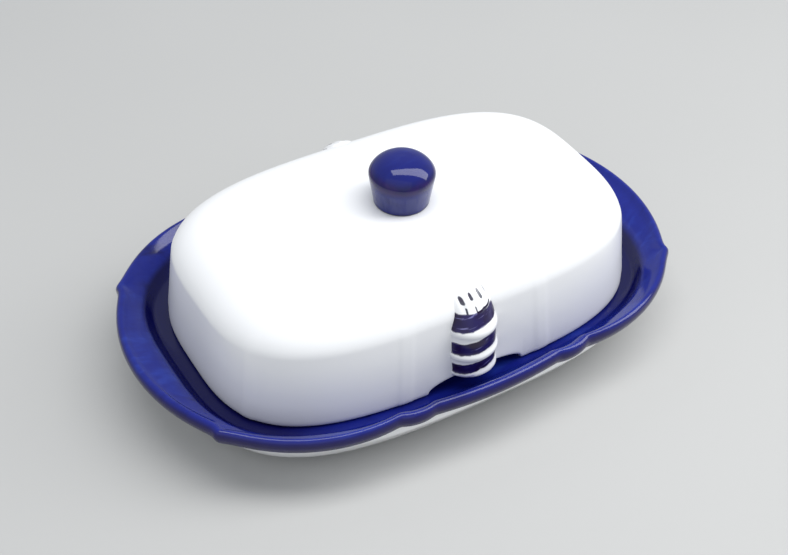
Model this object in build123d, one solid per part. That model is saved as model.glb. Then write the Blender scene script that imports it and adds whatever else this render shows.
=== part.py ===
from build123d import *
import os
from math import atan2, cos, degrees, exp, log, radians, sin, sqrt

# Butter dish in glazed ceramic: a scalloped oval tray, and a loose domed lid with a knob and two
# applied relief columns. Millimetres. +X runs along the dish, +Z is up, and the origin is the
# middle of the foot ring on the surface that the dish stands on.

# Driving dimensions: the tray
TRAY_LENGTH = 203.0
TRAY_WIDTH = 133.6
RIM_HEIGHT = 25.2
LIP_DEPTH = 7.0
FOOT_LENGTH = 158.0
FOOT_WIDTH = 98.0
FOOT_HEIGHT = 3.4
FOOT_RING = 4.0
FLOOR_HEIGHT = 8.6
SEAT_HEIGHT = 15.0
SEAT_LENGTH = 169.6
SEAT_WIDTH = 109.2
WELL_LENGTH = 151.0
WELL_WIDTH = 91.0
TRAY_SQUARENESS = 2.62

# Driving dimensions: the lid
LID_LENGTH = 160.8
LID_WIDTH = 102.4
LID_SQUARENESS = 3.25
LID_HEIGHT = 40.7
LID_DRAFT = 2.4
SHOULDER_REACH = 22.0
SHOULDER_RISE = 14.7
LID_WALL = 4.2
LID_GAP = 0.02
LID_TURN = -0.9
LID_SHIFT = -0.9

# Driving dimensions: the arch in the lid's edge, the knob and the reliefs
ARCH_HALF_WIDTH = 18.5
ARCH_HEIGHT = 5.0
KNOB_BASE_R = 9.6
KNOB_WIDEST_R = 11.4
KNOB_EDGE_HEIGHT = 11.5
KNOB_HEIGHT = 17.9
RELIEF_SEMI_DEPTH = 8.0
FRONT_RELIEF_SHIFT = -1.0

# The lip is a row of lobes, each an arc: (centre x, centre y, radius) in the first quarter.
END_LOBE = (TRAY_LENGTH / 2 - 69.5, 0.0, 69.5)
SIDE_LOBE = (43.0, TRAY_WIDTH / 2 - 60.0, 57.0)
SMALL_LOBE = (29.3, TRAY_WIDTH / 2 - 17.3, 16.0)
MIDDLE_LOBE = (0.0, TRAY_WIDTH / 2 - 150.0, 150.0)
LOBE_BLEND = 0.22
CORNER_ANGLE = 23.6
CORNER_TIP = 1.3
CORNER_STEP_WIDTH = 0.9

# Angles in degrees between the points of an outline: on a plain oval, and on the lobed lip.
PLAIN_STEP = 5.0
LOBED_STEP = 3.4
NOTCH_STEP = 0.9
NOTCHES = ((20.5, 27.5), (56.0, 72.0))


def superellipse_radius(half_length, half_width, squareness, angle):
    """Distance from the middle to a rounded oval, in the direction of angle (radians)."""
    along = abs(cos(angle)) / half_length
    across = abs(sin(angle)) / half_width
    return (along**squareness + across**squareness) ** (-1 / squareness)


def lobe_radius(lobe, angle):
    """Distance from the middle to the far side of a lobe's circle."""
    x, y, radius = lobe
    toward = x * cos(angle) + y * sin(angle)
    reach = toward**2 + radius**2 - x**2 - y**2
    return toward + sqrt(reach) if reach > 0 else 0.0


def lip_radius(angle):
    """Distance from the middle to the lobed lip. The four quarters are alike."""
    quarter = atan2(abs(sin(angle)), abs(cos(angle)))
    side = [lobe_radius(lobe, quarter) for lobe in (SIDE_LOBE, SMALL_LOBE, MIDDLE_LOBE)]
    longest = max(side)
    side_radius = longest + LOBE_BLEND * log(sum(exp((r - longest) / LOBE_BLEND) for r in side))
    past = degrees(quarter) - CORNER_ANGLE
    share = 1 / (1 + exp(-past * 4 / CORNER_STEP_WIDTH))
    tip = CORNER_TIP * exp(-abs(past) / (0.7 if past < 0 else 1.6))
    return side_radius * share + lobe_radius(END_LOBE, quarter) * (1 - share) + tip


def directions(step, notch_step):
    """Angles of the points of an outline, with the smaller step where the lip is notched."""
    quarter = []
    angle = 0.0
    while angle < 90.0 - notch_step:
        quarter.append(angle)
        notched = any(start <= angle <= end for start, end in NOTCHES)
        angle += notch_step if notched else step
    angles = quarter + [90.0] + [180 - a for a in reversed(quarter)]
    return [radians(a) for a in angles[:-1]] + [radians(a + 180) for a in angles[:-1]]


PLAIN_DIRECTIONS = directions(PLAIN_STEP, PLAIN_STEP)
LOBED_DIRECTIONS = directions(LOBED_STEP, NOTCH_STEP)


def ring(radius_at, z, angles):
    """Closed smooth outline at the height z, from a function that gives its radius."""
    points = [(radius_at(a) * cos(a), radius_at(a) * sin(a), z) for a in angles]
    return Wire([Edge.make_spline(points, periodic=True)])


def oval(length, width, squareness, z, angles=PLAIN_DIRECTIONS):
    """A rounded oval outline at the height z."""
    return ring(lambda a: superellipse_radius(length / 2, width / 2, squareness, a), z, angles)


def lobed_oval(length, width, squareness, z):
    """A rounded oval outline that is lofted up to the lobed lip."""
    return oval(length, width, squareness, z, LOBED_DIRECTIONS)


def lip_ring(inset, z, lobed=1.0):
    """The lip's outline moved inwards by inset; lobed 0 is the plain oval beneath the lobes."""

    def radius_at(angle):
        plain = superellipse_radius(TRAY_LENGTH / 2, TRAY_WIDTH / 2, TRAY_SQUARENESS, angle)
        return lip_radius(angle) * lobed + plain * (1 - lobed) - inset

    return ring(radius_at, z, LOBED_DIRECTIONS)


def lid_ring(inset, z):
    """The lid's outline at the height z, moved inwards by inset."""
    return oval(LID_LENGTH - 2 * inset, LID_WIDTH - 2 * inset, LID_SQUARENESS, z)


def make_tray():
    rim = RIM_HEIGHT
    outside = Solid.make_loft(
        [
            lobed_oval(FOOT_LENGTH, FOOT_WIDTH, 3.2, 0),
            lobed_oval(FOOT_LENGTH + 4.5, FOOT_WIDTH + 4.5, 3.2, 1.6),
            lobed_oval(FOOT_LENGTH + 11, FOOT_WIDTH + 11.5, 3.1, 4.5),
            lobed_oval(FOOT_LENGTH + 18.5, FOOT_WIDTH + 19, 3.0, 9.5),
            lobed_oval(FOOT_LENGTH + 24.5, FOOT_WIDTH + 24.5, 2.9, 14),
            lip_ring(5.4, rim - LIP_DEPTH - 0.9, 0.3),
            lip_ring(2.7, rim - LIP_DEPTH + 0.2),
            lip_ring(0.6, rim - LIP_DEPTH + 2.2),
            lip_ring(0.0, rim - 2.7),
            lip_ring(0.5, rim - 0.9),
            lip_ring(1.9, rim),
        ]
    )
    flange = Solid.make_loft(
        [
            lobed_oval(SEAT_LENGTH, SEAT_WIDTH, LID_SQUARENESS, SEAT_HEIGHT),
            lobed_oval(SEAT_LENGTH + 4.0, SEAT_WIDTH + 5.6, 3.15, SEAT_HEIGHT + 2.2),
            lobed_oval(SEAT_LENGTH + 8.6, SEAT_WIDTH + 10.4, 3.0, SEAT_HEIGHT + 4.9),
            lobed_oval(SEAT_LENGTH + 15.4, SEAT_WIDTH + 14.6, 2.85, SEAT_HEIGHT + 7.1),
            lip_ring(4.3, rim - 1.6, 0.8),
            lip_ring(2.7, rim - 0.3),
            lip_ring(2.2, rim + 1.0),
        ]
    )
    well = Solid.make_loft(
        [
            oval(WELL_LENGTH - 17, WELL_WIDTH - 16, 3.0, FLOOR_HEIGHT),
            oval(WELL_LENGTH - 9, WELL_WIDTH - 9, 3.1, FLOOR_HEIGHT + 0.9),
            oval(WELL_LENGTH - 3.5, WELL_WIDTH - 3.5, 3.2, FLOOR_HEIGHT + 3.6),
            oval(WELL_LENGTH, WELL_WIDTH, LID_SQUARENESS, SEAT_HEIGHT + 0.4),
        ]
    )
    inner_foot = 2 * FOOT_RING
    underside = Solid.make_loft(
        [
            oval(FOOT_LENGTH - inner_foot + 1.6, FOOT_WIDTH - inner_foot + 1.6, 3.1, -1.0),
            oval(FOOT_LENGTH - inner_foot, FOOT_WIDTH - inner_foot, 3.1, 0.6),
            oval(FOOT_LENGTH - inner_foot - 5, FOOT_WIDTH - inner_foot - 5, 3.0, FOOT_HEIGHT),
        ]
    )
    return outside - flange - well - underside


def lid_base():
    return SEAT_HEIGHT + LID_GAP


def lid_outside():
    base = lid_base()
    wall_top = base + LID_HEIGHT - SHOULDER_RISE
    rings = [
        lid_ring(0.7, base),
        lid_ring(-0.15, base + 1.0),
        lid_ring(0.0, base + 3.2),
        lid_ring(0.35 * LID_DRAFT, base + 11.0),
        lid_ring(LID_DRAFT, wall_top),
    ]
    steps = 6
    for step in range(1, steps + 1):
        turn = radians(90 * step / steps)
        inset = LID_DRAFT + SHOULDER_REACH * (1 - cos(turn))
        rings.append(lid_ring(inset, wall_top + SHOULDER_RISE * sin(turn)))
    return Solid.make_loft(rings)


def lid_inside():
    base = lid_base()
    wall_top = base + LID_HEIGHT - SHOULDER_RISE
    reach = SHOULDER_REACH - 3.0
    rise = SHOULDER_RISE - LID_WALL
    rings = [
        lid_ring(LID_WALL - 0.4, base - 2.0),
        lid_ring(LID_WALL, base + 1.4),
        lid_ring(LID_WALL + 0.35 * LID_DRAFT, base + 11.0),
        lid_ring(LID_WALL + LID_DRAFT, wall_top),
    ]
    steps = 5
    for step in range(1, steps + 1):
        turn = radians(90 * step / steps)
        rings.append(lid_ring(LID_WALL + LID_DRAFT + reach * (1 - cos(turn)), wall_top + rise * sin(turn)))
    return Solid.make_loft(rings)


def arch_cutter():
    """A low bracket arch, cut through the lid's edge at the middle of both long sides."""
    base = lid_base()
    corner = (ARCH_HALF_WIDTH, base)
    crown = Spline(
        corner,
        (ARCH_HALF_WIDTH - 3.4, base + 0.62 * ARCH_HEIGHT),
        (ARCH_HALF_WIDTH - 8.0, base + 0.92 * ARCH_HEIGHT),
        (0, base + ARCH_HEIGHT),
        (8.0 - ARCH_HALF_WIDTH, base + 0.92 * ARCH_HEIGHT),
        (3.4 - ARCH_HALF_WIDTH, base + 0.62 * ARCH_HEIGHT),
        (-ARCH_HALF_WIDTH, base),
    )
    below = Polyline(
        (-ARCH_HALF_WIDTH, base),
        (-ARCH_HALF_WIDTH, base - 3),
        (ARCH_HALF_WIDTH, base - 3),
        corner,
    )
    outline = Plane.XZ * make_face([crown, below])
    return extrude(outline, amount=LID_WIDTH, both=True)


def make_knob():
    """A turned knob that widens to a tight edge, with a domed top."""
    seat = lid_base() + LID_HEIGHT
    side = Line((KNOB_BASE_R, 0), (KNOB_WIDEST_R - 0.15, KNOB_EDGE_HEIGHT - 1.8))
    edge = Spline(side @ 1, (KNOB_WIDEST_R, KNOB_EDGE_HEIGHT), (KNOB_WIDEST_R - 1.0, KNOB_EDGE_HEIGHT + 1.7),
                  tangents=[side % 1, (-0.8, 0.6)])
    dome = Spline(edge @ 1, (0, KNOB_HEIGHT), tangents=[(-0.8, 0.6), (-1, 0)])
    outline = make_face([side, edge, dome, Polyline((0, KNOB_HEIGHT), (0, 0), (KNOB_BASE_R, 0))])
    return Pos(0, 0, seat) * revolve(Plane.XZ * outline, Axis.Z)


def relief_sections():
    """Sections of a relief column: height over the lid's edge, half-width, furthest reach in y."""
    return [
        (5.3, 8.6, 55.0),
        (6.3, 9.5, 56.4),
        (8.1, 9.2, 55.7),
        (12.4, 9.1, 55.5),
        (14.2, 9.4, 56.1),
        (15.8, 9.0, 55.4),
        (21.4, 8.8, 55.0),
        (23.9, 9.1, 55.3),
        (26.0, 8.7, 54.0),
        (29.6, 8.3, 52.0),
        (32.7, 8.0, 49.4),
        (35.0, 7.2, 46.8),
        (36.7, 5.4, 44.0),
    ]


def make_relief(side, shift, lid_body):
    """The column on the front wall (side -1) or the back wall (side 1), shift along the wall."""
    base = lid_base()
    wires = []
    for height, half_width, reach in relief_sections():
        centre = Plane((shift, side * (reach - RELIEF_SEMI_DEPTH), base + height))
        wires.append((centre * Ellipse(half_width, RELIEF_SEMI_DEPTH)).wire())
    return Solid.make_loft(wires) - lid_body


def write(name, shape):
    shape.label = name
    export_step(shape, "parts/" + name + ".step")


def main():
    os.makedirs("parts", exist_ok=True)
    lid_body = lid_outside()
    turn = Pos(0, LID_SHIFT, 0) * Rot(0, 0, LID_TURN)
    write("tray", make_tray())
    write("lid_shell", turn * (lid_body - lid_inside() - arch_cutter()))
    write("knob", turn * make_knob())
    write("front_relief", turn * make_relief(-1, FRONT_RELIEF_SHIFT, lid_body))
    write("back_relief", turn * make_relief(1, 0, lid_body))


main()
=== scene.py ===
import math

import bpy
import numpy as np
from mathutils import Matrix, Vector


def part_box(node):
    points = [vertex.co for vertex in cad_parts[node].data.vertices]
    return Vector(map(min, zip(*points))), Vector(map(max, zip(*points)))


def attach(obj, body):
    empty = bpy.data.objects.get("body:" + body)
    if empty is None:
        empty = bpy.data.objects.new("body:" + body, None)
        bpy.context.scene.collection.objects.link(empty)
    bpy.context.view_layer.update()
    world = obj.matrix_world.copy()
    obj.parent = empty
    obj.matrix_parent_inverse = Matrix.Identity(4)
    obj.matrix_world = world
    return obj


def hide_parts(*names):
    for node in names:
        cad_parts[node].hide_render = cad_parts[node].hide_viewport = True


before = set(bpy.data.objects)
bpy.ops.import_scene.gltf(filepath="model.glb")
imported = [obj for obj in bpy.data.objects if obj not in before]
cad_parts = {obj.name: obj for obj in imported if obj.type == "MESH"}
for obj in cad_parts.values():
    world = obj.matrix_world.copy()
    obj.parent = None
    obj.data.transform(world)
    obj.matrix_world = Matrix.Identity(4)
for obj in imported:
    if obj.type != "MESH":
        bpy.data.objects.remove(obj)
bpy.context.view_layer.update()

# The dish's shapes are worked out in millimetres, in the CAD's own frame, and made in metres.
MM = 0.001

tray_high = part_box("tray")[1]
shell_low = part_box("lid_shell")[0]
knob_low, knob_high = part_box("knob")

# Tray
HALF_LENGTH = tray_high.x / MM
HALF_WIDTH = 66.8
RIM = tray_high.z / MM
LIP_DEPTH = 7.0
FOOT_LENGTH = 158.0
FOOT_WIDTH = 98.0
FOOT_HEIGHT = 3.4
FOOT_RING = 4.0
FLOOR = 8.6
SEAT = 15.0
SEAT_LENGTH = 169.6
SEAT_WIDTH = 109.2
WELL_LENGTH = 151.0
WELL_WIDTH = 91.0
TRAY_SQUARENESS = 2.62

# The lip is a row of lobes, each an arc: (centre x, centre y, radius) in the first quarter.
END_LOBE = (HALF_LENGTH - 69.5, 0.0, 69.5)
SIDE_LOBE = (43.0, HALF_WIDTH - 60.0, 57.0)
SMALL_LOBE = (29.3, HALF_WIDTH - 17.3, 16.0)
MIDDLE_LOBE = (0.0, HALF_WIDTH - 150.0, 150.0)
LOBE_BLEND = 0.22
CORNER_ANGLE = 23.6
CORNER_TIP = 1.3
CORNER_STEP_WIDTH = 1.3
# Each tip falls away over these angles in degrees, towards the dish's end and towards its side.
TIP_ROUNDING = 0.5
TIP_FADE_TO_END = 1.0
TIP_FADE_TO_SIDE = 1.9
# The visual skin stays this far above the surface that the dish stands on.
SKIN = 0.02

# Lid
LID_BASE = shell_low.z / MM
LID_TURN = math.radians(-0.9)
LID_SHIFT = -0.9
LID_HALF_LENGTH = 80.4
LID_HALF_WIDTH = 51.2
LID_SQUARENESS = 3.25
LID_HEIGHT = 40.7
LID_DRAFT = 2.4
SHOULDER_REACH = 22.0
SHOULDER_RISE = 14.7
WALL_TOP = LID_BASE + LID_HEIGHT - SHOULDER_RISE
LID_WALL = 4.2
LID_FIRST_BEND = 11.0
ARCH_HALF_WIDTH = 18.5
ARCH_HEIGHT = 5.0
ARCH_SQUARENESS = 2.8
ARCH_EASE = 14.0
# Faint upright ribs on the walls, at these angles from the dish's long axis in each quarter.
RIB_ANGLES = (22.6, 62.2)
RIB_HALF_ANGLES = (1.7, 2.3)
RIB_HEIGHT = 0.32
RIB_SQUARENESS = 6

# Knob
KNOB_SEAT = knob_low.z / MM
KNOB_HEIGHT = (knob_high.z - knob_low.z) / MM
KNOB_BASE_R = 9.6
KNOB_WIDEST_R = 11.4
KNOB_EDGE_HEIGHT = 11.5

# Reliefs: a half-round column with three ridges, as sections: (height over the lid's lower edge,
# half width, furthest reach from the lid's middle plane).
RELIEF_SECTIONS = (
    (5.35, 8.0, 54.0), (5.6, 8.8, 55.4), (6.3, 9.3, 56.2), (7.3, 9.3, 56.1), (8.2, 9.1, 55.6),
    (10.3, 9.1, 55.5), (12.4, 9.1, 55.6), (13.4, 9.3, 56.1), (14.6, 9.3, 56.1), (15.7, 9.0, 55.4),
    (18.7, 8.9, 55.2), (21.6, 8.8, 55.0), (22.8, 9.0, 55.4), (24.0, 9.0, 55.3), (25.8, 8.7, 54.1),
    (29.4, 8.3, 52.1), (32.7, 8.0, 49.4), (34.6, 7.3, 47.3), (36.2, 5.6, 44.7), (36.6, 4.2, 43.8),
)
RELIEF_DEPTH = 8.0
RELIEF_HALF_WIDTH = 9.0
FRONT_RELIEF_SHIFT = -1.0
# Grooves part the top of each column into fingers.
FINGERS_FROM = 29.0
FINGER_WIDTH = 3.3
FINGER_OFFSET = 0.9
FINGER_GROOVE = 0.6

# Mesh spacing, in mm, and points round the small turned or oval pieces
TRAY_STEP = 0.95
LID_STEP = 0.75
ARCH_STEP = 0.35
PROFILE_STEP = 0.9
KNOB_PROFILE_STEP = 0.35
RELIEF_PROFILE_STEP = 0.4
FEWEST_RINGS = 2
MOST_RINGS = 16
KNOB_POINTS = 128
RELIEF_POINTS = 96
FLOOR_POINTS = 96


# ---------------------------------------------------------------- outlines

def superellipse_radius(half_length, half_width, squareness, angles):
    along = np.abs(np.cos(angles)) / half_length
    across = np.abs(np.sin(angles)) / half_width
    return (along**squareness + across**squareness) ** (-1 / squareness)


def lobe_radius(lobe, angles):
    x, y, radius = lobe
    toward = x * np.cos(angles) + y * np.sin(angles)
    reach = toward**2 + radius**2 - x**2 - y**2
    return np.where(reach > 0, toward + np.sqrt(np.maximum(reach, 0)), 0.0)


def quarter_angles(angles):
    """The same directions folded into the first quarter."""
    return np.arctan2(np.abs(np.sin(angles)), np.abs(np.cos(angles)))


def lip_radius(angles):
    """Distance from the middle to the lobed lip: arcs that meet in small notches, and a tip at each
    corner."""
    quarter = quarter_angles(angles)
    side = np.array([lobe_radius(lobe, quarter) for lobe in (SIDE_LOBE, SMALL_LOBE, MIDDLE_LOBE)])
    longest = side.max(0)
    side_radius = longest + LOBE_BLEND * np.log(np.exp((side - longest) / LOBE_BLEND).sum(0))
    past = np.degrees(quarter) - CORNER_ANGLE
    share = 1 / (1 + np.exp(-past * 4 / CORNER_STEP_WIDTH))
    rounded = np.sqrt(past**2 + TIP_ROUNDING**2) - TIP_ROUNDING
    tip = CORNER_TIP * np.exp(-rounded / np.where(past < 0, TIP_FADE_TO_END, TIP_FADE_TO_SIDE))
    return side_radius * share + lobe_radius(END_LOBE, quarter) * (1 - share) + tip


def rib_height(angles):
    """How far the ribs stand out of the lid's wall in each direction."""
    quarter = np.degrees(quarter_angles(angles))
    height = np.zeros_like(quarter)
    for middle, half in zip(RIB_ANGLES, RIB_HALF_ANGLES):
        height += RIB_HEIGHT / (1 + (np.abs(quarter - middle) / half) ** RIB_SQUARENESS)
    return height


def full_turn(count):
    return np.arange(count) / count * 2 * math.pi


def even_angles(radius_at, step, fine_within=None, fine_step=None):
    """Directions spaced step apart along an outline, and finer where |x| is under fine_within."""
    samples = 20001
    dense = np.linspace(0, 2 * math.pi, samples)
    radius = radius_at(dense)
    x = radius * np.cos(dense)
    y = radius * np.sin(dense)
    run = np.hypot(np.diff(x), np.diff(y))
    if fine_within:
        middle_x = np.abs(x[1:] + x[:-1]) / 2
        run = run * np.where(middle_x < fine_within, step / fine_step, 1.0)
    total = np.concatenate([[0], np.cumsum(run)])
    count = 4 * round(total[-1] / step / 4)
    return np.interp(np.arange(count) / count * total[-1], total, dense)


def oval(angles, length, width, squareness, z):
    radius = superellipse_radius(length / 2, width / 2, squareness, angles)
    return ring(angles, radius, z)


def ring(angles, radius, z):
    height = np.full_like(angles, z) if np.isscalar(z) else z
    return np.stack([radius * np.cos(angles), radius * np.sin(angles), height], 1)


def lip_ring(angles, inset, z, lobed=1.0):
    """The lip's outline moved in by inset: lobed at 1, a plain oval at 0."""
    plain = superellipse_radius(HALF_LENGTH, HALF_WIDTH, TRAY_SQUARENESS, angles)
    return ring(angles, lip_radius(angles) * lobed + plain * (1 - lobed) - inset, z)


def lid_ring(angles, inset, z, ribbed=0.0):
    """The lid's outline moved in by inset, with that share of the ribs' height."""
    plain = superellipse_radius(LID_HALF_LENGTH - inset, LID_HALF_WIDTH - inset, LID_SQUARENESS, angles)
    return ring(angles, plain + ribbed * rib_height(angles), z)


# ---------------------------------------------------------------- meshes

def smooth_rings(keys, step=PROFILE_STEP):
    """Rings through the key rings, as a Catmull-Rom curve in each direction, and each ring's place in the
    row of keys as a number (2.5 is halfway from key 2 to key 3)."""
    keys = np.array(keys)
    gaps = np.linalg.norm(np.diff(keys, axis=0), axis=2).mean(1)
    knots = np.concatenate([[0], np.cumsum(np.sqrt(gaps))])
    rings, places = [], []
    last = len(keys) - 1
    for i in range(last):
        before = keys[i - 1] if i > 0 else 2 * keys[0] - keys[1]
        after = keys[i + 2] if i + 2 <= last else 2 * keys[last] - keys[last - 1]
        t0 = knots[i - 1] if i > 0 else 2 * knots[0] - knots[1]
        t3 = knots[i + 2] if i + 2 <= last else 2 * knots[last] - knots[last - 1]
        t1, t2 = knots[i], knots[i + 1]
        count = max(FEWEST_RINGS, min(MOST_RINGS, round(gaps[i] / step)))
        for k in range(count):
            t = t1 + (t2 - t1) * k / count
            a1 = (before * (t1 - t) + keys[i] * (t - t0)) / (t1 - t0)
            a2 = (keys[i] * (t2 - t) + keys[i + 1] * (t - t1)) / (t2 - t1)
            a3 = (keys[i + 1] * (t3 - t) + after * (t - t2)) / (t3 - t2)
            b1 = (a1 * (t2 - t) + a2 * (t - t0)) / (t2 - t0)
            b2 = (a2 * (t3 - t) + a3 * (t - t1)) / (t3 - t1)
            rings.append((b1 * (t2 - t) + b2 * (t - t1)) / (t2 - t1))
            places.append(i + k / count)
    rings.append(keys[last])
    places.append(float(last))
    return np.array(rings), np.array(places)


def ring_mesh(name, rings, places=None, close_start=True):
    """A mesh from a stack of rings, closed to a point at its ends, with each ring's place on its points."""
    count, around = rings.shape[:2]
    points = rings.reshape(-1, 3)
    extra = []
    faces = []
    for i in range(count - 1):
        for j in range(around):
            k = (j + 1) % around
            faces.append((i * around + j, i * around + k, (i + 1) * around + k, (i + 1) * around + j))
    if close_start:
        extra.append(rings[0].mean(0))
        apex = count * around
        faces += [(apex, (j + 1) % around, j) for j in range(around)]
    extra.append(rings[-1].mean(0))
    apex = count * around + len(extra) - 1
    start = (count - 1) * around
    faces += [(apex, start + j, start + (j + 1) % around) for j in range(around)]
    points = np.concatenate([points, np.array(extra)])
    mesh = bpy.data.meshes.new(name)
    mesh.from_pydata((points * MM).tolist(), [], faces)
    mesh.polygons.foreach_set("use_smooth", [True] * len(mesh.polygons))
    if places is not None:
        per_point = list(np.repeat(places, around))
        per_point += [places[0]] * close_start + [places[-1]]
        attribute = mesh.attributes.new("place", "FLOAT", "POINT")
        attribute.data.foreach_set("value", np.array(per_point, np.float32))
    mesh.update()
    piece = bpy.data.objects.new(name, mesh)
    bpy.context.scene.collection.objects.link(piece)
    return piece


# ---------------------------------------------------------------- materials

class Nodes:
    """A short way to write a shader's node tree."""

    def __init__(self, name):
        self.material = bpy.data.materials.new(name)
        self.material.use_nodes = True
        self.tree = self.material.node_tree
        self.tree.nodes.clear()
        self.output = self.tree.nodes.new("ShaderNodeOutputMaterial")
        self.shader = self.tree.nodes.new("ShaderNodeBsdfPrincipled")
        self.link(self.shader.outputs[0], self.output.inputs["Surface"])
        self.place = self.tree.nodes.new("ShaderNodeTexCoord").outputs["Object"]

    def link(self, source, socket):
        """Joins a socket to a node's output, or sets it to a plain value."""
        if isinstance(source, bpy.types.NodeSocket):
            self.tree.links.new(source, socket)
        else:
            socket.default_value = source

    def math(self, operation, a, b=0.0, clamp=False):
        node = self.tree.nodes.new("ShaderNodeMath")
        node.operation = operation
        node.use_clamp = clamp
        self.link(a, node.inputs[0])
        self.link(b, node.inputs[1])
        return node.outputs[0]

    def noise(self, scale, detail=3.0, roughness=0.5, vector=None, distortion=0.0):
        node = self.tree.nodes.new("ShaderNodeTexNoise")
        self.link(vector or self.place, node.inputs["Vector"])
        node.inputs["Scale"].default_value = scale
        node.inputs["Detail"].default_value = detail
        node.inputs["Roughness"].default_value = roughness
        node.inputs["Distortion"].default_value = distortion
        return node.outputs["Fac"]

    def scaled(self, x, y, z, vector=None):
        node = self.tree.nodes.new("ShaderNodeMapping")
        self.link(vector or self.place, node.inputs["Vector"])
        node.inputs["Scale"].default_value = (x, y, z)
        return node.outputs[0]

    def xyz(self):
        """The point's place in its own object, in metres."""
        node = self.tree.nodes.new("ShaderNodeSeparateXYZ")
        self.link(self.place, node.inputs[0])
        return node.outputs

    def attribute(self, name):
        node = self.tree.nodes.new("ShaderNodeAttribute")
        node.attribute_name = name
        return node.outputs["Fac"]

    def ramp(self, value, low, high, start=0.0, end=1.0):
        """value mapped smoothly from low..high to start..end."""
        node = self.tree.nodes.new("ShaderNodeMapRange")
        node.interpolation_type = "SMOOTHSTEP"
        self.link(value, node.inputs["Value"])
        node.inputs["From Min"].default_value = low
        node.inputs["From Max"].default_value = high
        node.inputs["To Min"].default_value = start
        node.inputs["To Max"].default_value = end
        return node.outputs[0]

    def mix(self, factor, a, b):
        node = self.tree.nodes.new("ShaderNodeMix")
        node.data_type = "RGBA"
        self.link(factor, node.inputs["Factor"])
        for value, socket in ((a, node.inputs[6]), (b, node.inputs[7])):
            self.link(value if not isinstance(value, tuple) else (*value, 1.0), socket)
        return node.outputs[2]

    def bump(self, height, distance, strength=1.0):
        node = self.tree.nodes.new("ShaderNodeBump")
        self.link(height, node.inputs["Height"])
        node.inputs["Distance"].default_value = distance
        node.inputs["Strength"].default_value = strength
        self.link(node.outputs[0], self.shader.inputs["Normal"])

    def finish(self, colour, roughness, specular=0.5):
        self.link(colour, self.shader.inputs["Base Color"])
        self.link(roughness, self.shader.inputs["Roughness"])
        self.shader.inputs["IOR"].default_value = GLAZE_IOR
        self.shader.inputs["Specular IOR Level"].default_value = specular
        return self.material


# Colours, in linear light
COBALT = (0.007, 0.014, 0.19)
COBALT_THIN = (0.016, 0.040, 0.31)
COBALT_DEEP = (0.003, 0.003, 0.055)
# Plum for painted shade and painted reflection, on the lip's outer face and round the knob's edge.
SHADE_PLUM = (0.018, 0.003, 0.075)
NAVY = (0.010, 0.002, 0.030)
PAINT_BLUE = (0.012, 0.006, 0.085)
LAVENDER = (0.25, 0.24, 0.52)
SLATE = (0.045, 0.05, 0.075)
# Colour of the painted reflection of the white lid on the knob's side.
KNOB_SIDE_REFLECTION = (0.055, 0.065, 0.19)
WHITE = (0.86, 0.865, 0.87)
WHITE_SHADE = (0.82, 0.83, 0.85)
CLAY = (0.66, 0.60, 0.52)
FLOOR_DARK = (0.44, 0.44, 0.43)
FLOOR_PALE = (0.46, 0.46, 0.45)

# Roughness, and the specular level of the cobalt glaze
TRAY_ROUGHNESS = 0.11
CLAY_ROUGHNESS = 0.75
LID_ROUGHNESS = 0.26
KNOB_ROUGHNESS = 0.07
RELIEF_ROUGHNESS = 0.14
PAINT_ROUGHNESS = 0.28
FLOOR_ROUGHNESS = 0.6
COBALT_SPECULAR = 0.4
GLAZE_IOR = 1.5


def cobalt_colour(n):
    """Cobalt glaze, streaked along the dish and cloudy where it was laid on thick or thin."""
    streaks = n.noise(1.0, 4.0, 0.6, n.scaled(60, 190, 190), 0.4)
    clouds = n.noise(28.0, 3.0, 0.5)
    tone = n.math("ADD", n.math("MULTIPLY", streaks, 0.55), n.math("MULTIPLY", clouds, 0.45))
    deep = n.mix(n.ramp(tone, 0.25, 0.5), COBALT_DEEP, COBALT)
    return n.mix(n.ramp(tone, 0.5, 0.75), deep, COBALT_THIN)


def glaze_bump(n):
    """The slight waviness of a fired glaze."""
    n.bump(n.noise(55.0, 2.0), 0.0003, 0.35)


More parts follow.
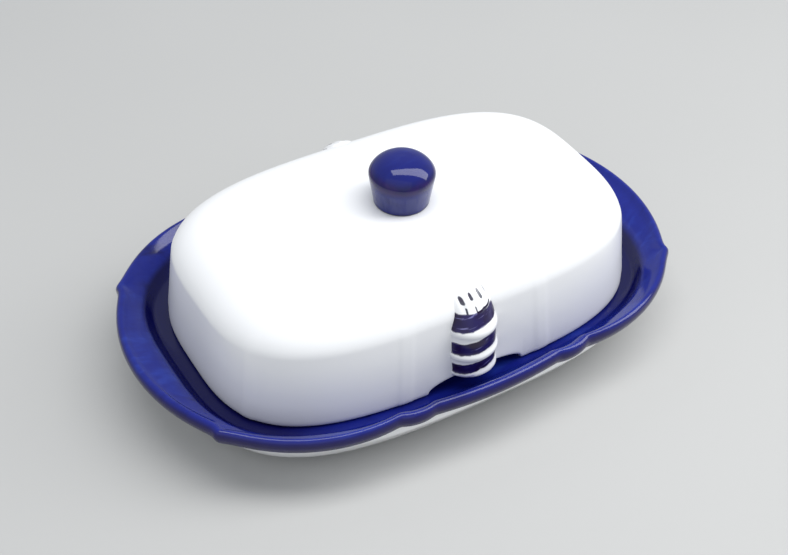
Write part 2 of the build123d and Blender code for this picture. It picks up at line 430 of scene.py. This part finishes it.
def tray_material(blue_from, crest, pool_shade_from, pool_shade_to):
    """Blue above, white beneath, clay under the foot. The place on each point says how far along the
    tray's section it is: from pool_shade_from to pool_shade_to the glaze is darker, partly where it
    pools and partly painted shade in the gap under the lid, most of all at the dish's ends; and under
    the lip's crest it carries painted shade with a plum cast."""
    n = Nodes("tray_glaze")
    along = n.math("ABSOLUTE", n.xyz()[0])
    place = n.attribute("place")
    wander = n.math("MULTIPLY", n.math("SUBTRACT", n.noise(60.0, 3.0), 0.5), 0.9)
    edge = n.math("ADD", place, wander)
    blue = cobalt_colour(n)
    # Partly darker glaze where it pools, partly painted shade in the gap under the lid's edge, weak along
    # the sides and strongest at the dish's ends.
    past_start = n.ramp(place, pool_shade_from, pool_shade_from + 1.0)
    before_end = n.ramp(place, pool_shade_to, pool_shade_to + 1.5, 1.0, 0.0)
    pooled_glaze_and_shade = n.math("MULTIPLY", past_start, before_end)
    thick = n.ramp(along, 0.045, 0.072, 0.2, 0.95)
    blue = n.mix(n.math("MULTIPLY", pooled_glaze_and_shade, thick), blue, COBALT_DEEP)
    # Painted shade on the lip's outer face under its crest, with a plum cast as a painted reflection.
    painted_shade_under_lip = n.ramp(edge, crest - 2.8, crest - 0.3, 1.0, 0.0)
    blue = n.mix(n.math("MULTIPLY", painted_shade_under_lip, 0.9), blue, n.mix(0.35, COBALT_DEEP, SHADE_PLUM))
    speck = n.ramp(n.noise(420.0, 2.0, 0.6), 0.70, 0.76)
    white = n.mix(n.math("MULTIPLY", speck, 0.25), WHITE, CLAY)
    foot = n.ramp(n.xyz()[2], 0.00025, 0.0007, 1.0, 0.0)
    white = n.mix(foot, white, CLAY)
    soft = n.ramp(edge, blue_from - 0.25, blue_from + 0.15)
    colour = n.mix(soft, white, blue)
    glaze_bump(n)
    return n.finish(colour, n.ramp(foot, 0.0, 1.0, TRAY_ROUGHNESS, CLAY_ROUGHNESS), COBALT_SPECULAR)


def white_glaze_colour(n):
    """White glaze, very slightly cloudy."""
    clouds = n.ramp(n.noise(14.0, 2.0), 0.3, 0.7)
    return n.mix(n.math("MULTIPLY", clouds, 0.35), WHITE, WHITE_SHADE)


def stroke_mask(n, x, z, start, end, half_width):
    """1 on a painted stroke from start to end, both in mm as (x, height), and 0 off it."""
    dx, dz = end[0] - start[0], end[1] - start[1]
    squared = dx * dx + dz * dz
    from_x = n.math("SUBTRACT", x, start[0])
    from_z = n.math("SUBTRACT", z, start[1])
    dot = n.math("ADD", n.math("MULTIPLY", from_x, dx), n.math("MULTIPLY", from_z, dz))
    share = n.math("DIVIDE", dot, squared, clamp=True)
    off_x = n.math("SUBTRACT", from_x, n.math("MULTIPLY", share, dx))
    off_z = n.math("SUBTRACT", from_z, n.math("MULTIPLY", share, dz))
    away = n.math("SQRT", n.math("ADD", n.math("POWER", off_x, 2.0), n.math("POWER", off_z, 2.0)))
    return n.ramp(away, half_width * 0.75, half_width * 1.15, 1.0, 0.0)


def lid_material():
    """Plain white glaze."""
    n = Nodes("lid_glaze")
    colour = white_glaze_colour(n)
    glaze_bump(n)
    return n.finish(colour, LID_ROUGHNESS)


def knob_material():
    """Cobalt, with painted shade in plum and navy round the edge, and a streaky greyish painted reflection
    of the white lid down the side.
    """
    n = Nodes("knob_glaze")
    colour = n.mix(0.35, cobalt_colour(n), COBALT_DEEP)
    # Height over the knob's seat, in mm
    height = n.math("SUBTRACT", n.math("DIVIDE", n.xyz()[2], MM), KNOB_SEAT)
    # Painted shade round the knob's edge, plum and navy in patches.
    plum_shade_patches = n.ramp(n.noise(130.0, 3.0, 0.55, distortion=0.5), 0.40, 0.62)
    edge_shade_up = n.ramp(height, 8.3, 10.8)
    edge_shade_down = n.ramp(height, 12.4, 15.0, 1.0, 0.0)
    edge = n.math("MULTIPLY", n.math("MULTIPLY", edge_shade_up, edge_shade_down), 0.85)
    colour = n.mix(edge, colour, n.mix(plum_shade_patches, SHADE_PLUM, COBALT_DEEP))
    # A streaky greyish painted reflection of the white lid down the knob's side.
    side = n.math("MULTIPLY", n.ramp(height, 9.2, 7.2), n.ramp(height, 0.4, 2.5))
    reflection_streaks = n.ramp(n.noise(1.0, 2.0, 0.5, n.scaled(420, 420, 60)), 0.35, 0.65)
    grey = n.math("MULTIPLY", side, n.ramp(reflection_streaks, 0.0, 1.0, 0.12, 0.4))
    colour = n.mix(grey, colour, KNOB_SIDE_REFLECTION)
    foot = n.ramp(height, 0.9, 0.2)
    colour = n.mix(foot, colour, COBALT_DEEP)
    glaze_bump(n)
    return n.finish(colour, KNOB_ROUGHNESS, COBALT_SPECULAR)


# Painted bands round each relief, in mm over the lid's base: (lower, upper) at the left side of the
# column, then at its right side, where the brush climbed.
BANDS = (
    ((7.4, 10.9), (8.7, 13.4)),
    ((15.1, 19.6), (16.3, 22.6)),
    ((24.4, 30.3), (26.3, 30.3)),
)
# Painted strokes on each relief: (x, height) of one end and of the other, half width, and darkness.
STROKES = (
    ((-4.1, 33.8), (-4.0, 33.1), 0.72, 0.95),
    ((-0.9, 34.5), (-0.8, 33.8), 0.60, 0.95),
    ((2.4, 34.7), (2.8, 33.3), 0.52, 0.85),
    ((5.0, 34.5), (5.5, 33.5), 0.34, 0.6),
    ((-3.5, 31.6), (-3.6, 30.3), 0.30, 1.0),
    ((-0.3, 31.6), (-0.3, 30.4), 0.24, 0.9),
    ((-0.1, 30.2), (2.6, 30.5), 0.40, 1.0),
    ((2.6, 30.5), (5.6, 30.9), 0.36, 1.0),
)


def relief_material(side):
    """White, with three painted bands and a few strokes. Pale streaks along the brush's grain in the bands
    are painted highlights.
    """
    n = Nodes("relief_glaze")
    place = n.xyz()
    # x runs to the right as one faces the relief, and height is over the lid's lower edge, both in mm.
    x = n.math("MULTIPLY", place[0], -side / MM)
    height = n.math("SUBTRACT", n.math("DIVIDE", place[2], MM), LID_BASE)
    wander = n.math("MULTIPLY", n.math("SUBTRACT", n.noise(330.0, 3.0), 0.5), 1.3)
    across = n.ramp(x, -RELIEF_HALF_WIDTH, 0.6 * RELIEF_HALF_WIDTH)
    rough_height = n.math("ADD", height, wander)
    painted = 0.0
    for (low, high), (right_low, right_high) in BANDS:
        lower = n.math("ADD", n.math("MULTIPLY", across, right_low - low), low)
        upper = n.math("ADD", n.math("MULTIPLY", across, right_high - high), high)
        above = n.ramp(n.math("SUBTRACT", rough_height, lower), -0.25, 0.25)
        below = n.ramp(n.math("SUBTRACT", upper, rough_height), -0.25, 0.25)
        painted = n.math("MAXIMUM", painted, n.math("MULTIPLY", above, below))
    ends = n.ramp(n.math("ABSOLUTE", n.math("ADD", x, wander)), 8.5, 8.9, 1.0, 0.0)
    painted = n.math("MULTIPLY", painted, ends)
    slanted = n.math("SUBTRACT", height, n.math("MULTIPLY", across, 2.6))
    grain = n.tree.nodes.new("ShaderNodeCombineXYZ")
    n.link(n.math("MULTIPLY", x, 0.16), grain.inputs[0])
    n.link(n.math("MULTIPLY", slanted, 1.1), grain.inputs[2])
    brush = n.noise(1.0, 3.0, 0.6, grain.outputs[0], 0.4)
    dark = n.mix(n.ramp(n.noise(190.0, 2.0), 0.28, 0.66), NAVY, PAINT_BLUE)
    # Painted highlights: pale lavender streaks along the brush's grain in the bands.
    paint_and_highlights = n.mix(n.math("MULTIPLY", n.ramp(brush, 0.58, 0.70), 0.7), dark, LAVENDER)
    colour = n.mix(painted, white_glaze_colour(n), paint_and_highlights)
    for start, end, half_width, depth in STROKES:
        wavy_x = n.math("ADD", x, n.math("MULTIPLY", wander, 0.25))
        mark = stroke_mask(n, wavy_x, height, start, end, half_width)
        stroke = n.mix(n.ramp(brush, 0.4, 0.6), SLATE, NAVY)
        colour = n.mix(n.math("MULTIPLY", mark, depth), colour, stroke)
    # Pale lavender patches low on the column.
    low_lavender_patches = n.math("MULTIPLY", n.ramp(rough_height, 7.6, 6.6), n.ramp(n.noise(260.0, 2.0), 0.48, 0.60))
    colour = n.mix(n.math("MULTIPLY", low_lavender_patches, 0.7), colour, LAVENDER)
    glaze_bump(n)
    return n.finish(colour, n.ramp(painted, 0.0, 1.0, RELIEF_ROUGHNESS, PAINT_ROUGHNESS))


# ---------------------------------------------------------------- tray

def tray_rings():
    """The tray's skin from the middle of its underside, round the lip, to the middle of the well, and the
    places in it where the blue starts, the lip crests, and the darker glaze with its painted shade
    starts and ends."""
    angles = even_angles(lip_radius, TRAY_STEP)
    inner = 2 * FOOT_RING

    def grown(length, width):
        """Ovals that are more longer than length and wider than width, or more_width wider."""
        def grown_oval(more, squareness, z, more_width=None):
            wider = more if more_width is None else more_width
            return oval(angles, length + more, width + wider, squareness, z)
        return grown_oval

    foot = grown(FOOT_LENGTH, FOOT_WIDTH)
    seat = grown(SEAT_LENGTH, SEAT_WIDTH)
    well = grown(WELL_LENGTH, WELL_WIDTH)

    under = [
        oval(angles, 10, 6, 2.0, FOOT_HEIGHT),
        oval(angles, 60, 30, 2.3, FOOT_HEIGHT),
        foot(-inner - 14, 3.0, FOOT_HEIGHT),
        foot(-inner - 7, 3.0, FOOT_HEIGHT - 0.1),
        foot(-inner - 3.4, 3.0, FOOT_HEIGHT - 1.2),
        foot(-inner - 1.0, 3.1, 1.0),
        foot(-inner + 0.6, 3.1, 0.2),
        foot(-inner + 2.2, 3.1, 0.0),
        foot(-2.6, 3.2, 0.0),
        foot(-0.4, 3.2, 0.15),
        foot(1.8, 3.2, 0.6),
    ]
    belly = [
        foot(4.5, 3.2, 1.6),
        foot(11, 3.1, 4.5, 11.5),
        foot(18.5, 3.0, 9.5, 19),
        foot(24.5, 2.9, 14),
        lip_ring(angles, 5.4, RIM - LIP_DEPTH - 0.9, 0.3),
        lip_ring(angles, 3.4, RIM - LIP_DEPTH - 0.2, 0.9),
    ]
    lip = [
        lip_ring(angles, 2.1, RIM - LIP_DEPTH + 0.5),
        lip_ring(angles, 0.7, RIM - LIP_DEPTH + 2.2),
        lip_ring(angles, 0.05, RIM - 2.9),
        lip_ring(angles, 0.35, RIM - 1.1),
        lip_ring(angles, 1.0, RIM - 0.35),
        lip_ring(angles, 1.9, RIM - 0.02),
        lip_ring(angles, 2.7, RIM - 0.35),
        lip_ring(angles, 4.3, RIM - 1.6, 0.8),
    ]
    inside = [
        seat(15.4, 2.85, SEAT + 7.1, 14.6),
        seat(8.6, 3.0, SEAT + 4.9, 10.4),
        seat(4.0, 3.15, SEAT + 2.2, 5.6),
        seat(0.6, LID_SQUARENESS, SEAT + 0.35),
        seat(-2.4, LID_SQUARENESS, SEAT),
        well(4.6, LID_SQUARENESS, SEAT),
        well(1.2, LID_SQUARENESS, SEAT - 0.15),
        well(-1.2, LID_SQUARENESS, SEAT - 1.0),
        well(-3.5, 3.2, FLOOR + 3.6),
        well(-9, 3.1, FLOOR + 0.9),
        well(-17, 3.0, FLOOR, -16),
        oval(angles, 80, 40, 2.4, FLOOR),
        oval(angles, 10, 6, 2.0, FLOOR),
    ]
    lip_start = len(under) + len(belly)
    lip_end = lip_start + len(lip)
    blue_from = lip_start - 0.4
    crest = lip_start + 5.0
    pool_shade_from = lip_end + 0.6
    pool_shade_to = lip_end + 8.5
    rings, places = smooth_rings(under + belly + lip + inside)
    rings[:, :, 2] = np.clip(rings[:, :, 2], SKIN, RIM)
    return rings, places, (blue_from, crest, pool_shade_from, pool_shade_to)


def make_tray():
    rings, places, marks = tray_rings()
    piece = ring_mesh("tray_glazed", rings, places)
    piece.data.materials.append(tray_material(*marks))
    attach(piece, "tray")
    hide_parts("tray")


# ---------------------------------------------------------------- lid

def lid_base_radius(angles):
    return superellipse_radius(LID_HALF_LENGTH, LID_HALF_WIDTH, LID_SQUARENESS, angles)


def lift_arches(rings):
    """Raises the lower edge into an arch at the middle of both long sides, and eases the wall above it."""
    share = np.clip(np.abs(rings[:, :, 0]) / ARCH_HALF_WIDTH, 0, 1)
    on_side = np.abs(rings[:, :, 1]) > LID_HALF_WIDTH / 2
    arch = ARCH_HEIGHT * np.sqrt(1 - share**ARCH_SQUARENESS) * on_side
    up = np.clip((rings[:, :, 2] - LID_BASE) / ARCH_EASE, 0, 1)
    lifted = rings.copy()
    lifted[:, :, 2] += arch * (1 - up) ** 2
    return lifted


def lid_rings():
    """The lid's skin from the middle of its ceiling, down inside, round the lower edge and up to its top."""
    angles = even_angles(lid_base_radius, LID_STEP, ARCH_HALF_WIDTH + 3, ARCH_STEP)
    inner_steps = 6
    outer_steps = 8
    inner_reach = SHOULDER_REACH - 3.0
    inner_rise = SHOULDER_RISE - LID_WALL
    keys = [oval(angles, 8, 4, 2.0, WALL_TOP + inner_rise), oval(angles, 50, 20, 2.2, WALL_TOP + inner_rise)]
    for step in range(inner_steps, 0, -1):
        turn = math.radians(90 * step / inner_steps)
        inset = LID_WALL + LID_DRAFT + inner_reach * (1 - math.cos(turn))
        keys.append(lid_ring(angles, inset, WALL_TOP + inner_rise * math.sin(turn)))
    keys += [
        lid_ring(angles, LID_WALL + LID_DRAFT, WALL_TOP),
        lid_ring(angles, LID_WALL + 0.35 * LID_DRAFT, LID_BASE + LID_FIRST_BEND),
        lid_ring(angles, LID_WALL + 0.05, LID_BASE + 3.0),
        lid_ring(angles, LID_WALL - 0.25, LID_BASE + 1.0),
        lid_ring(angles, LID_WALL - 0.9, LID_BASE + 0.2),
        lid_ring(angles, 2.2, LID_BASE),
        lid_ring(angles, 1.0, LID_BASE + 0.12, 0.7),
        lid_ring(angles, 0.2, LID_BASE + 0.6, 0.9),
        lid_ring(angles, -0.1, LID_BASE + 1.4, 1.0),
        lid_ring(angles, 0.0, LID_BASE + 3.4, 1.0),
        lid_ring(angles, 0.35 * LID_DRAFT, LID_BASE + LID_FIRST_BEND, 0.9),
        lid_ring(angles, LID_DRAFT, WALL_TOP, 0.6),
    ]
    for step in range(1, outer_steps + 1):
        turn = math.radians(90 * step / outer_steps)
        inset = LID_DRAFT + SHOULDER_REACH * (1 - math.cos(turn))
        ribbed = max(0.0, 0.5 - 0.18 * step)
        keys.append(lid_ring(angles, inset, WALL_TOP + SHOULDER_RISE * math.sin(turn), ribbed))
    keys += [
        lid_ring(angles, 36.0, KNOB_SEAT),
        oval(angles, 30, 14, 2.4, KNOB_SEAT),
        oval(angles, 6, 3, 2.0, KNOB_SEAT),
    ]
    rings, places = smooth_rings(keys)
    return lift_arches(rings), places


def turned(piece, along=0.0):
    """Turns and moves a piece of the lid to where the lid rests on the tray, moved along the lid first."""
    piece.rotation_euler.z = LID_TURN
    piece.location.x = along * math.cos(LID_TURN) * MM
    piece.location.y = (LID_SHIFT + along * math.sin(LID_TURN)) * MM
    return piece


def make_lid():
    rings, places = lid_rings()
    piece = turned(ring_mesh("lid_glazed", rings, places))
    piece.data.materials.append(lid_material())
    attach(piece, "lid")
    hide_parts("lid_shell")


# ---------------------------------------------------------------- knob

def make_knob():
    angles = full_turn(KNOB_POINTS)
    top = KNOB_HEIGHT - 0.03
    profile = [
        (0.5, 0.0), (6.0, 0.0), (KNOB_BASE_R - 0.25, 0.0), (KNOB_BASE_R + 0.02, 0.3),
        (KNOB_BASE_R + 0.25, 1.8), (KNOB_BASE_R + 0.95, 6.0), (KNOB_WIDEST_R - 0.25, KNOB_EDGE_HEIGHT - 2.0),
        (KNOB_WIDEST_R - 0.04, KNOB_EDGE_HEIGHT - 0.5), (KNOB_WIDEST_R - 0.12, KNOB_EDGE_HEIGHT + 0.5),
        (KNOB_WIDEST_R - 0.7, KNOB_EDGE_HEIGHT + 1.7), (9.3, 14.9), (7.0, 16.55), (4.0, 17.55),
        (1.2, top - 0.06), (0.3, top),
    ]
    keys = [ring(angles, np.full_like(angles, radius), KNOB_SEAT + z) for radius, z in profile]
    rings, places = smooth_rings(keys, KNOB_PROFILE_STEP)
    piece = turned(ring_mesh("knob_glazed", rings, places))
    piece.data.materials.append(knob_material())
    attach(piece, "lid")
    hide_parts("knob")


# ---------------------------------------------------------------- reliefs

def wall_reach(z):
    """How far the lid's outside stands from its middle plane, at the height z and halfway along."""
    up = np.clip((z - WALL_TOP) / SHOULDER_RISE, 0, 1)
    shoulder = SHOULDER_REACH * (1 - np.sqrt(1 - up**2))
    low = np.clip((z - LID_BASE) / (WALL_TOP - LID_BASE), 0, 1)
    return LID_HALF_WIDTH - LID_DRAFT * low - shoulder


def make_relief(name, node, side, shift):
    """A column on the front wall (side -1) or the back wall (side 1), sunk a little into the wall."""
    sunk = 2.0
    thinnest = 2.5
    groove_start = 2.5
    groove_sharpness = 5
    turn = full_turn(RELIEF_POINTS)
    keys = []
    for height, half_width, reach in RELIEF_SECTIONS:
        z = LID_BASE + height
        y = reach - RELIEF_DEPTH + RELIEF_DEPTH * np.cos(turn)
        y = np.maximum(y, min(wall_reach(z) - sunk, reach - thinnest))
        x = half_width * np.sin(turn) * -side
        grooved = np.clip((height - FINGERS_FROM) / groove_start, 0, 1)
        grooves = np.abs(np.cos((x + FINGER_OFFSET) / FINGER_WIDTH * math.pi)) ** groove_sharpness
        y = np.where(np.cos(turn) > 0, y - FINGER_GROOVE * grooved * grooves, y)
        keys.append(np.stack([x, side * y, np.full(RELIEF_POINTS, z)], 1))
    rings, places = smooth_rings(keys, RELIEF_PROFILE_STEP)
    piece = turned(ring_mesh(name, rings, places), shift)
    piece.data.materials.append(relief_material(side))
    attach(piece, "lid")
    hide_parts(node)


# ---------------------------------------------------------------- studio

LIGHTS_AIM = Vector((0, 0, 0.03))
SKY = (0.80, 0.84, 0.90)
SKY_STRENGTH = 0.64
CAMERA_AZIMUTH = -31.9
CAMERA_ELEVATION = 41.4
CAMERA_ROLL = -1.44
CAMERA_AIM = Vector((-0.0075, -0.0095, 0.030))
CAMERA_DISTANCE = 0.4876
CAMERA_LENS = 64.4
SENSOR_WIDTH = 36.0


def floor_material():
    n = Nodes("floor")
    tone = n.ramp(n.noise(3.0, 2.0), 0.3, 0.7)
    return n.finish(n.mix(tone, FLOOR_DARK, FLOOR_PALE), FLOOR_ROUGHNESS)


def make_floor():
    """A plain pale floor: a wide flat disc just under the dish."""
    turn = full_turn(FLOOR_POINTS)
    rings = [ring(turn, np.full_like(turn, radius), -SKIN) for radius in (2000.0, 1200.0, 600.0, 300.0)]
    floor = ring_mesh("floor", np.array(rings), close_start=False)
    floor.data.materials.append(floor_material())


def softbox(name, azimuth, elevation, distance, size, power):
    """A rectangular light that faces the dish. Azimuth 0 is the -Y side and 90 the +X side."""
    a, e = math.radians(azimuth), math.radians(elevation)
    away = Vector((math.sin(a) * math.cos(e), -math.cos(a) * math.cos(e), math.sin(e)))
    light = bpy.data.lights.new(name, "AREA")
    light.shape = "RECTANGLE"
    light.size, light.size_y = size
    light.energy = power
    lamp = bpy.data.objects.new(name, light)
    lamp.location = LIGHTS_AIM + away * distance
    lamp.rotation_mode = "QUATERNION"
    lamp.rotation_quaternion = (-away).to_track_quat("-Z", "Y")
    bpy.context.scene.collection.objects.link(lamp)


def make_lights():
    """A long softbox high on the right, a broad weak one low on the left, and an even sky."""
    softbox("key", azimuth=66, elevation=66, distance=0.85, size=(0.42, 1.9), power=12.5)
    softbox("fill", azimuth=-45, elevation=30, distance=1.3, size=(2.2, 1.3), power=2.4)
    world = bpy.data.worlds.new("studio")
    world.use_nodes = True
    background = world.node_tree.nodes["Background"]
    background.inputs["Color"].default_value = (*SKY, 1.0)
    background.inputs["Strength"].default_value = SKY_STRENGTH
    bpy.context.scene.world = world


def make_camera():
    """Looks down at the dish from the front left."""
    azimuth = math.radians(CAMERA_AZIMUTH)
    elevation = math.radians(CAMERA_ELEVATION)
    roll = math.radians(CAMERA_ROLL)
    back = Vector((
        math.sin(azimuth) * math.cos(elevation),
        -math.cos(azimuth) * math.cos(elevation),
        math.sin(elevation)))
    right = Vector((math.cos(azimuth), math.sin(azimuth), 0))
    up = back.cross(right)
    turned_right = right * math.cos(roll) - up * math.sin(roll)
    turned_up = right * math.sin(roll) + up * math.cos(roll)
    data = bpy.data.cameras.new("camera")
    data.lens = CAMERA_LENS
    data.sensor_width = SENSOR_WIDTH
    data.clip_start = 0.01
    data.clip_end = 20.0
    camera = bpy.data.objects.new("camera", data)
    place = CAMERA_AIM + back * CAMERA_DISTANCE
    camera.matrix_world = Matrix((
        (turned_right.x, turned_up.x, back.x, place.x),
        (turned_right.y, turned_up.y, back.y, place.y),
        (turned_right.z, turned_up.z, back.z, place.z),
        (0, 0, 0, 1)))
    bpy.context.scene.collection.objects.link(camera)
    bpy.context.scene.camera = camera


make_tray()
make_lid()
make_knob()
make_relief("front_relief_painted", "front_relief", side=-1, shift=FRONT_RELIEF_SHIFT)
make_relief("back_relief_painted", "back_relief", side=1, shift=0.0)
make_floor()
make_lights()
make_camera()
bpy.context.scene.view_settings.view_transform = "Standard"
